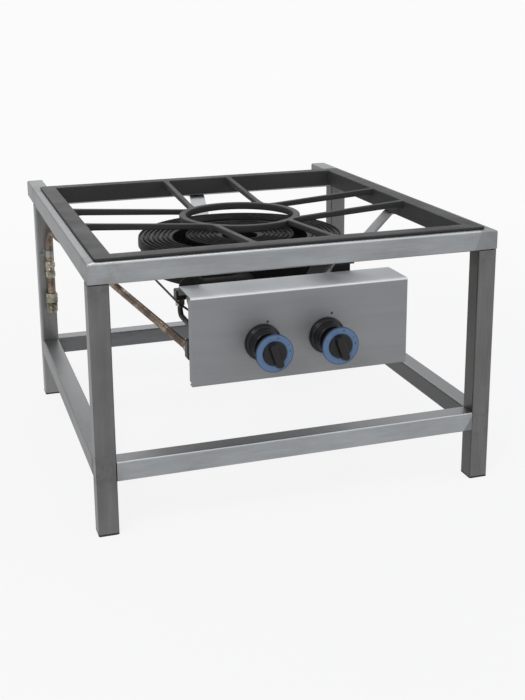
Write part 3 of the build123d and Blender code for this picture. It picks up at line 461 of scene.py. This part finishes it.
# %% Dial rings
def printed_ring(name, axis_x, axis_z):
    marks_radius = 0.0226
    marks = ((75, 0.0014, 0.0026), (100, 0.0011, 0.0016), (148, 0.0021, 0.0017),
             (178, 0.0009, 0.0009), (225, 0.0009, 0.0009))
    ring = Finish(name, Specular_IOR_Level=0.45)
    east, high = ring.x - axis_x, ring.z - axis_z
    radius = east.diagonal(high)
    haze = ring.noise(90, 3, 0.6)
    ink = radius.fade(0.0260, 0.0266) + radius.fade(0.0190, 0.0184)
    for deg, long, wide in marks:
        angle = radians(knob_rest + deg)
        out = east * cos(angle) + high * sin(angle) - marks_radius
        side = high * cos(angle) - east * sin(angle)
        ink = ink.largest(abs(out).fade(long, long * 0.6) * abs(side).fade(wide, wide * 0.6))
    blue = ring.blend(haze, (0.088, 0.168, 0.300, 1.0), (0.118, 0.212, 0.350, 1.0))
    colour = ring.blend(ink.smallest(1.0) * 0.8, blue, (0.03, 0.055, 0.15, 1.0))
    return ring.feed(Base_Color=colour, Roughness=0.38 + haze.swing(0.2),
                     Normal=ring.bump(haze, 0.00005, 0.4))


dial_rings = {side: printed_ring("dial_blue_" + side, *axis) for side, axis in knob_axes.items()}
print("dial rings", list(dial_rings))

# %% [markdown]
# The panel is one folded sheet, brushed from end to end. Its face is mid grey and its top much
# lighter, which is painted light. Its fold shows as a thin bright line, partly wear and partly a
# painted highlight, and above each knob there is one small dark index dot. A full metal would
# mirror the dark knobs as smudges beside them, and the brushed sheet doesn't, so the shader is
# half metal and half plain grey.


# %% Panel sheet
def panel_sheet(name, dots):
    sheet = Finish(name)
    lines = sheet.noise(900, 3, 0.7, sheet.stretched("X", 0.012))
    bands = sheet.noise(40, 3, 0.6, sheet.stretched("X", 0.10))
    clouds = sheet.noise(11, 4, 0.6)
    shade = lines.swing(0.25) + bands.swing(0.30) + clouds.swing(0.28) + 0.5
    colour = sheet.blend(shade, grey(0.174, -0.015), grey(0.358, -0.035))
    # Painted light: faces that look up take a much lighter grey.
    flat = sheet.facing("Z").fade(0.75, 0.98)
    colour = sheet.blend(flat, colour, grey(0.62, -0.03))
    # Painted highlight, with some wear: a thin bright, slightly smoother line along the fold.
    from_fold = abs(sheet.y - (panel_face + 0.0016)) + abs(sheet.z - (panel_fold - 0.0012))
    wear_and_sheen = from_fold.fade(0.0042, 0.0018)
    colour = sheet.blend(wear_and_sheen, colour, grey(0.88))
    front = sheet.y.fade(panel_face + 0.003, panel_face + 0.001)
    ink = either([(sheet.x - x).diagonal(sheet.z - z).fade(0.0024, 0.0016) for x, z in dots])
    ink = ink * front
    colour = sheet.blend(ink, colour, (0.03, 0.025, 0.07, 1.0))
    worn = 0.50 + lines.swing(0.16) + clouds.swing(0.20) - wear_and_sheen * 0.1 + flat * 0.22
    return sheet.feed(Base_Color=colour, Roughness=worn, Metallic=(1.0 - ink) * 0.5,
                      Normal=sheet.bump(lines, 0.00006, 0.5))


panel_steel = panel_sheet("panel_stainless", [(-0.053, 0.2925), (0.0455, 0.2955)])
print("panel finish", panel_steel.name)

# %% [markdown]
# Copper pipe darkens to brown where hands and heat have been, brass fittings stay yellower and
# show the lathe, and plated steel is dull and grey. All of them are the same recipe with other
# numbers: a bright metal, a tarnish colour, and cloudy noise that chooses between them.


# %% Fittings
def tarnished(name, bright, dull, rough, amount, along="Z"):
    metal = Finish(name, Metallic=1.0)
    cloud = metal.noise(45, 5, 0.62)
    specks = metal.noise(420, 3, 0.6)
    drawn = metal.noise(700, 2, 0.6, metal.stretched(along, 0.05))
    tarnish = (cloud * 0.7 + specks * 0.3).fade(0.62 - amount * 0.3, 0.80 - amount * 0.3)
    colour = metal.blend(tarnish, bright + (1.0,), dull + (1.0,))
    return metal.feed(Base_Color=colour, Roughness=rough + tarnish * 0.22 + drawn.swing(0.12),
                      Normal=metal.bump(drawn, 0.00005, 0.4))


copper = tarnished("copper_pipe", (0.34, 0.255, 0.19), (0.13, 0.10, 0.08), 0.36, 0.8, "Y")
brass = tarnished("brass_fitting", (0.34, 0.325, 0.255), (0.14, 0.133, 0.105), 0.21, 0.6)
plated = tarnished("plated_steel", (0.30, 0.30, 0.29), (0.15, 0.145, 0.14), 0.36, 0.5, "X")
dark_steel = tarnished("blackened_steel", (0.060, 0.058, 0.056), (0.025, 0.024, 0.023), 0.42,
                       0.6, "X")
print("fittings", 4)

# %% [markdown]
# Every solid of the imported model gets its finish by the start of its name, and the first start
# that fits is taken. A piece whose shape is already right keeps its solid, and only the cast,
# moulded and threaded pieces are modelled again below.

# %% Finishes on the solids
finishes = {
    "leg_back_left": painted_light_leg, "leg_": leg_z,
    "rail_front": rail_x, "rail_back": rail_x, "rail_": rail_y,
    "stretcher_front": brace_x, "stretcher_back": brace_back, "stretcher_": brace_y,
    "burner_arm_front": shaded_steel, "burner_arm_left": shaded_steel,
    "burner_arm_right": right_arm_painted_shade, "burner_arm": strap_steel,
    "panel_hanger": shaded_steel, "control_panel": panel_steel, "pan_grid": grid_iron,
    "burner_body": burner_iron, "outer_crown": crown_iron, "inner_crown": crown_iron,
    "mixing_tube": burner_iron, "knob_dial_left": dial_rings["left"],
    "knob_dial_right": dial_rings["right"], "knob_": black_plastic, "tube_plugs": plug_plastic,
    "supply_pipe": copper, "inlet_tube": copper, "thermocouple": dark_steel,
    "feed_tube": dark_steel, "injector": dark_steel, "air_shutter": dark_steel, "gas_tap": brass,
    "pipe_union": brass, "pipe_nuts": brass, "inlet_nut": brass, "gas_inlet": brass,
    "manifold": dark_steel, "panel_screws": dark_steel, "burner_bolts": dark_steel,
}
for name, piece in nodes.items():
    finish = next((f for start, f in finishes.items() if name.startswith(start)), plated)
    piece.data.materials.clear()
    piece.data.materials.append(finish)
print("dressed", len(nodes), "solids")

# %% [markdown]
# Castings, mouldings and threads need rounder shapes than the plain solids have. Three small tools
# make all of them: one softens the corners of an outline, one joins a row of outlines into a skin,
# and one spins an outline about an axis. Bevel modifiers would do part of this, but outlines keep
# the corner radius the same along a piece that changes its size.


# %% Outline tools
def softened(points, radius):
    """The closed outline with each corner replaced by a short curve."""
    steps = 3
    rounded = []
    for n, corner in enumerate(points):
        corner = Vector(corner)
        before, after = Vector(points[n - 1]), Vector(points[(n + 1) % len(points)])
        back = (before - corner).normalized() * min(radius, (before - corner).length * 0.45)
        onward = (after - corner).normalized() * min(radius, (after - corner).length * 0.45)
        for k in range(steps + 1):
            t = k / steps
            rounded.append(corner + back * (1 - t) ** 2 + onward * t ** 2)
    return rounded


def skin(rings, closed=False):
    """Points and faces that join one outline to the next; open ends are capped."""
    size = len(rings[0])
    points = [tuple(p) for ring in rings for p in ring]
    faces = []
    for n in range(len(rings) if closed else len(rings) - 1):
        here, there = n * size, (n + 1) % len(rings) * size
        faces += [(here + k, here + (k + 1) % size, there + (k + 1) % size, there + k)
                  for k in range(size)]
    if not closed:
        faces.append(tuple(reversed(range(size))))
        faces.append(tuple(range(len(points) - size, len(points))))
    return points, faces


def spun(outline, centre, axis, count=96):
    """The closed outline of (radius, height) turned about an axis through the centre."""
    centre, axis = Vector(centre), Vector(axis).normalized()
    side = axis.orthogonal().normalized()
    other = axis.cross(side)
    rings = []
    for k in range(count):
        angle = 2 * pi * k / count
        out = side * cos(angle) + other * sin(angle)
        rings.append([centre + out * r + axis * h for r, h in outline])
    return skin(rings, closed=True)


print("outline tools ready")

# %% [markdown]
# A modelled piece isn't finished as a mesh. It also needs its smooth shading with sharp edges
# kept, its finish, the body that it moves with, its colour slot and the solids that it stands in
# for. One function does all of that in the same order each time, so nothing is forgotten.


# %% One named piece
def cast(name, parts, finish, body, replaces=(), sharp=35):
    """One named object from several skins, smooth except at its sharp edges."""
    mesh = bpy.data.meshes.new(name)
    points, faces = [], []
    for more_points, more_faces in parts:
        first = len(points)
        points += more_points
        faces += [tuple(first + n for n in face) for face in more_faces]
    mesh.from_pydata(points, [], faces)
    work = bmesh.new()
    work.from_mesh(mesh)
    bmesh.ops.recalc_face_normals(work, faces=work.faces)
    work.to_mesh(mesh)
    work.free()
    mesh.polygons.foreach_set("use_smooth", [True] * len(mesh.polygons))
    mesh.set_sharp_from_angle(angle=radians(sharp))
    mesh.materials.append(finish)
    piece = bpy.data.objects.new(name, mesh)
    bpy.context.scene.collection.objects.link(piece)
    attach(piece, body)
    if replaces:
        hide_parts(*replaces)
    return piece


print("casting tool ready")

# %% [markdown]
# The pan grid is one iron casting: a rim with a flange that lies on the stand, eight bars, and a
# low ring in the middle. A foundry rounds every edge and thickens each bar where it meets the rim,
# so that the iron fills the mould. The rim is an outline carried round the square, the ring is
# spun, and each bar is a row of outlines that widen towards both ends.


# %% Pan grid
def quarter_turn(quarter, point):
    """A point of the grid's +X side, turned to one of its four sides about the burner's axis."""
    return Matrix.Rotation(quarter * pi / 2, 3, "Z") @ Vector(point) + Vector((0, burner_y, 0))


def square_rim(outline, inside):
    corner_steps, inner_bend, bend_growth = 6, 0.0008, 0.2
    rings = []
    for quarter in range(4):
        for k in range(corner_steps):
            angle = k / (corner_steps - 1) * pi / 2
            ring = []
            for out, high in outline:
                bend = inner_bend + (out - inside) * bend_growth
                middle = out - bend
                ring.append(quarter_turn(quarter, (middle + bend * cos(angle),
                                                   middle + bend * sin(angle), high)))
            rings.append(ring)
    return skin(rings, closed=True)


def grid_bar(quarter, offset):
    """A bar that climbs from near the ring to the rim, thicker where it meets them."""
    start, end, steps = 0.0733, 0.2712, 14
    half_width, underside, edge_radius = 0.0050, 0.86, 0.0024
    first_top, top_climb, first_low, low_climb = 0.3888, 0.0150, 0.3800, 0.0130
    ring_root, ring_part, rim_root, rim_part = 0.0022, 0.10, 0.0016, 0.07
    rings = []
    for k in range(steps + 1):
        t = k / steps
        root = (ring_root * max(0.0, 1 - t / ring_part) ** 2
                + rim_root * max(0.0, 1 - (1 - t) / rim_part) ** 2)
        half = half_width + root
        top, low = first_top + top_climb * t, first_low + low_climb * t - root * 0.8
        outline = softened([(-half, top), (half, top), (half * underside, low),
                            (-half * underside, low)], edge_radius)
        rings.append([quarter_turn(quarter, (start + (end - start) * t, offset + u, v))
                      for u, v in outline])
    return skin(rings)


rim_inside, bar_offset = 0.270, 0.062
rim_outline = softened([(rim_inside, 0.404), (0.297, 0.404), (0.297, 0.4001), (0.277, 0.4001),
                        (0.2762, 0.374), (0.2708, 0.374)], 0.0022)
ring_outline = softened([(0.0905, 0.377), (0.1010, 0.377), (0.1020, 0.389), (0.0900, 0.389)],
                        0.0028)
bars = [grid_bar(quarter, offset) for quarter in range(4) for offset in (-bar_offset, bar_offset)]
grid = cast("pan_grid_casting",
            [square_rim(rim_outline, rim_inside),
             spun(ring_outline, (0, burner_y, 0), (0, 0, 1), 128)] + bars,
            grid_iron, "pan_grid", ["pan_grid"])
print("grid faces", len(grid.data.polygons))

# %% [markdown]
# The two burner crowns are rings with concentric ribs, and the heat has rounded the ribs over the
# years. Each crown is one spun outline. Its ribs are slim half waves with wider valleys between
# them, and a spigot under it drops into the trough of the burner body.


# %% Burner crowns
def crown_ribs(inside, outside):
    """The top of a crown from its outer edge inwards, one half wave for each rib."""
    steps = 8
    tops = []
    for n in range(int((outside - inside) / rib_pitch)):
        middle = outside - rib_half - n * rib_pitch
        for k in range(steps + 1):
            t = k / steps
            tops.append((middle + rib_half - 2 * rib_half * t,
                         crown_cap + rib_height * sin(pi * t) ** 0.6))
    return [p for p in tops if inside < p[0] < outside - 0.0004]


def crown(name, inside, outside):
    seat, shoulder, wall = 0.340, 0.0083, 0.004
    spigot_foot, spigot_roof = seat - 0.005, seat + 0.008
    near, far = inside + shoulder, outside - shoulder
    outline = [(outside - 0.0003, crown_cap - 0.001), *crown_ribs(inside, outside),
               (inside + 0.0004, crown_cap - 0.001), (inside, crown_cap - 0.003), (inside, seat),
               (near, seat), (near, spigot_foot), (near + wall, spigot_foot),
               (near + wall, spigot_roof), (far - wall, spigot_roof), (far - wall, spigot_foot),
               (far, spigot_foot), (far, seat), (outside, seat), (outside, crown_cap - 0.003)]
    return cast(name + "_casting", [spun(outline, (0, burner_y, 0), (0, 0, 1), 160)],
                crown_iron, name, [name])


crowns = [crown(name, inside, outside) for name, (inside, outside) in crown_radii.items()]
print("crown faces", [len(c.data.polygons) for c in crowns])

# %% [markdown]
# A knob is moulded in one piece: a hub over the tap's spindle, a thin disc that carries the blue
# ring, a raised round grip and a finger bar across it. The bar is a little fuller at its ends, and
# it runs past the grip to one side as a pointer. Behind it on the panel sits a turned black bezel.


# %% Knobs and bezels
def on_axis(side):
    return Vector((knob_axes[side][0], panel_face, knob_axes[side][1]))


def finger_bar(centre):
    """The grip's bar: ovals that shrink towards the user, longer on the pointer's side."""
    points, pointer, tail = 40, 0.0206, -0.0166
    half_waist, fuller_ends = 0.0060, 0.0006
    turned = radians(knob_rest)
    along = Vector((cos(turned), 0, sin(turned)))
    across = Vector((-sin(turned), 0, cos(turned)))
    rings = []
    for height, grow in ((0.0568, 1.10), (0.0610, 1.0), (0.0642, 0.96), (0.0654, 0.90),
                         (0.0660, 0.78)):
        ring = []
        for k in range(points):
            angle = 2 * pi * k / points
            far, near = cos(angle), sin(angle)
            reach = (pointer if far > 0 else tail) * abs(far) ** 0.5
            wide = (half_waist + fuller_ends * far ** 2) * abs(near) ** 0.6
            wide *= 1 if near > 0 else -1
            ring.append(centre + along * reach * (0.5 + grow / 2) + across * wide * grow
                        + Vector((0, -height, 0)))
        rings.append(ring)
    return skin(rings)


knob_outline = softened([(0.0041, 0.031), (0.0180, 0.031), (0.0172, 0.050), (0.0275, 0.0500),
                         (0.0275, 0.0529), (0.0173, 0.0529), (0.0170, 0.0568), (0.0002, 0.0572),
                         (0.0002, 0.0562), (0.0041, 0.0560)], 0.0009)
bezel_outline = softened([(0.0060, 0.0001), (0.0279, 0.0001), (0.0265, 0.0078), (0.0230, 0.0086),
                          (0.0217, 0.0258), (0.0060, 0.0258)], 0.0020)
for side in knob_axes:
    centre = on_axis(side)
    cast("knob_grip_" + side, [spun(knob_outline, centre, (0, -1, 0)), finger_bar(centre)],
         black_plastic, "knob_" + side, ["knob_" + side])
    cast("knob_collar_" + side, [spun(bezel_outline, centre, (0, -1, 0))], collar_black,
         "stand", ["knob_bezel_" + side])
    print("knob", side, tuple(round(v, 4) for v in centre))

# %% [markdown]
# The gas fittings on the leg are brass bar turned and milled to hexagons. The corners of each
# hexagon are chamfered by the lathe, and the inlet below carries a pipe thread of about 1.8 mm
# pitch. A thread could be a bump, but it shows against the light, so its grooves are real: the
# radius of each point follows its angle and its height.

# %% Fittings on the leg
drop_x, drop_y = -0.290, 0.255


def about_drop(angle, profile):
    """One outline of (radius, height), at this angle about the upright pipe on the leg."""
    return [Vector((drop_x + cos(angle) * r, drop_y + sin(angle) * r, z)) for r, z in profile]


def hexagon(low, reach, length, bore):
    """A chamfered upright hexagon nut with a bore; reach is the radius to a corner."""
    points, rounding = 48, 0.0004
    high = low + length
    flat = reach * cos(pi / 6)
    rings = []
    for k in range(points):
        angle = 2 * pi * k / points
        edge = flat / cos((angle + pi / 6) % (pi / 3) - pi / 6)
        cut = (edge - flat * 0.99) * 0.6 + rounding
        rings.append(about_drop(angle, [(bore, low), (flat * 0.98, low), (edge, low + cut),
                                        (edge, high - cut), (flat * 0.98, high), (bore, high)]))
    return skin(rings, closed=True)


def thread(radius, bore, low, high, pitch):
    """An upright pipe with a groove that climbs one pitch at each turn."""
    points, row_step, root = 72, 0.0003, 0.0014
    groove, run_in, taper, end_cut = 0.0011, 0.0016, 0.0006, 0.0004
    rows = int((high - low) / row_step)
    rings = []
    for k in range(points):
        profile = [(bore, low), (radius - root, low)]
        for n in range(rows + 1):
            z = low + end_cut + (high - low - 2 * end_cut) * n / rows
            turned = (z / pitch - k / points) % 1
            fade_in = min(1, (z - low) / run_in)
            profile.append((radius - groove * abs(turned * 2 - 1) - taper * (1 - fade_in), z))
        profile += [(radius - root, high), (bore, high)]
        rings.append(about_drop(2 * pi * k / points, profile))
    return skin(rings, closed=True)


union_outline = softened([(0.005, 0.236), (0.0082, 0.236), (0.0072, 0.249), (0.0086, 0.252),
                          (0.0072, 0.255), (0.0082, 0.268), (0.005, 0.268)], 0.0009)
cast("pipe_union_body", [spun(union_outline, (drop_x, drop_y, 0), (0, 0, 1), 64),
                         hexagon(0.238, 0.010, 0.010, 0.0055),
                         hexagon(0.256, 0.010, 0.010, 0.0055)],
     brass, "stand", ["pipe_union"])
cast("inlet_nut_body", [hexagon(0.188, 0.012, 0.018, 0.0052)], brass, "stand",
     ["inlet_nut"])
inlet = cast("gas_inlet_thread", [thread(0.0104, 0.005, 0.170, 0.188, 0.00181)], brass, "stand",
             ["gas_inlet"])
print("thread faces", len(inlet.data.polygons))

# %% [markdown]
# The tubes are welded. Outside, the seams are ground flush, and the finish already shows that.
# Inside the corners and underneath nobody grinds, so the beads stay: short runs of overlapping
# drops. Each bead is a thin tube whose radius ripples along its length.


# %% Weld beads
def bead(start, end):
    radius, row_step, points = 0.0016, 0.0005, 10
    start, end = Vector(start), Vector(end)
    axis = (end - start).normalized()
    side = axis.orthogonal().normalized()
    other = axis.cross(side)
    count = int((end - start).length / row_step)
    rings = []
    for n in range(count + 1):
        t = n / count
        ripple = 0.80 + 0.22 * abs(sin(pi * n / 4.0))
        swell = radius * ripple * min(1.0, 0.25 + 6 * min(t, 1 - t))
        rings.append([start.lerp(end, t) + (side * cos(a) + other * sin(a)) * swell
                      for a in (2 * pi * k / points for k in range(points))])
    return skin(rings)


half_bead = 0.012
beads = []
for side in (-1, 1):
    leg, x = side * leg_x, side * (leg_x - half_tube)
    for leg_y, inward in ((leg_front, 1), (leg_back, -1)):
        y = leg_y + inward * half_tube
        beads.append(bead((x, y, stretcher_z - half_bead), (x, y, stretcher_z + half_bead)))
        for z in (stretcher_z - half_tube, rail_z - half_tube):
            beads.append(bead((x, leg_y - half_bead, z), (x, leg_y + half_bead, z)))
            beads.append(bead((leg - half_bead, y, z), (leg + half_bead, y, z)))
welds = cast("weld_beads", beads, plated, "stand", sharp=60)
print("beads", len(beads))

# %% [markdown]
# A white background could come from very strong lamps, but they would burn out the steel. Here the
# camera, and the reflections in metal, see a white that nothing else does, while the plain light
# of the room falls on the range. Mixing two shaders by the kind of ray does that.


# %% White behind the range
def white_to_the_eye(bench, output, white_kind, share=1.0):
    """Camera, mirror and glass rays see white, or a share of it; others see the old surface."""
    just_below_white = 0.965
    surface = bench.tree.nodes[output].inputs["Surface"]
    old_surface = Wire(bench, surface.links[0].from_socket)
    seen = either([bench.node("ShaderNodeLightPath", out=ray)
                   for ray in ("Is Camera Ray", "Is Glossy Ray", "Is Transmission Ray")])
    white = bench.node(white_kind, None, {"Color": (1, 1, 1, 1), "Strength": just_below_white})
    choice = bench.node("ShaderNodeMixShader", None, {0: seen * share, 1: old_surface, 2: white})
    bench.tree.links.new(choice.socket, surface)


print("white background ready")

# %% [markdown]
# The range stands on a pale floor in a pale room. The floor shows a share of white that grows with
# the distance, so that the range keeps a faint shadow at its feet and the floor's far edge melts
# into the background. A curved backdrop would do the same, but it would be one more large shape.

# %% Room and floor
world = bpy.data.worlds.new("pale_room")
bpy.context.scene.world = world
world.use_nodes = True
room = world.node_tree.nodes["Background"]
room.inputs["Color"].default_value = (0.93, 0.95, 1.0, 1)
room.inputs["Strength"].default_value = 0.45
white_to_the_eye(Bench(world.node_tree), "World Output", "ShaderNodeBackground")

floor_half = 9
floor_mesh = bpy.data.meshes.new("floor")
floor_mesh.from_pydata([(x * floor_half, y * floor_half, 0)
                        for x, y in ((-1, -1), (1, -1), (1, 1), (-1, 1))], [], [(0, 1, 2, 3)])
floor = bpy.data.objects.new("floor", floor_mesh)
bpy.context.scene.collection.objects.link(floor)
floor_finish = Finish("pale_floor", Roughness=0.9, Specular_IOR_Level=0.2)
mottle = floor_finish.noise(3, 3, 0.5)
floor_finish.feed(Base_Color=floor_finish.blend(mottle, grey(0.90), grey(0.94)))
near_share = 0.89
far = floor_finish.x.diagonal(floor_finish.y).fade(0.7, 2.2)
white_to_the_eye(floor_finish, "Material Output", "ShaderNodeEmission",
                 near_share + far * (1 - near_share))
floor_mesh.materials.append(floor_finish.material)
print("floor half width", floor_half)

# %% [markdown]
# The lamps: a large soft one high on the left, a smaller one on the right, one behind, and a small
# hard one beside the camera for glints on brass and plastic. They stay weak enough that a colour
# renders about as it is written.


# %% Lamps
def lamp(name, at, aim, size, power, colour=(1, 1, 1)):
    light = bpy.data.lights.new(name, "AREA")
    light.shape = "RECTANGLE"
    light.size, light.size_y = size
    light.energy = power
    light.color = colour
    holder = bpy.data.objects.new(name, light)
    holder.location = at
    holder.rotation_euler = (Vector(aim) - Vector(at)).to_track_quat("-Z", "Y").to_euler()
    bpy.context.scene.collection.objects.link(holder)


lamp("key_lamp", (-1.6, -1.6, 2.4), (0, 0, 0.25), (1.6, 1.2), 26)
lamp("side_lamp", (2.2, -0.6, 1.6), (0, 0, 0.25), (1.2, 1.2), 10, (0.95, 0.97, 1.0))
lamp("back_lamp", (0.2, 2.4, 1.9), (0, 0, 0.3), (2.0, 0.8), 14)
lamp("glint_lamp", (-1.3, -1.9, 1.7), (0, 0, 0.3), (0.14, 0.14), 4)
bpy.context.scene.view_settings.view_transform = "Standard"
print("lamps", len(bpy.data.lights))
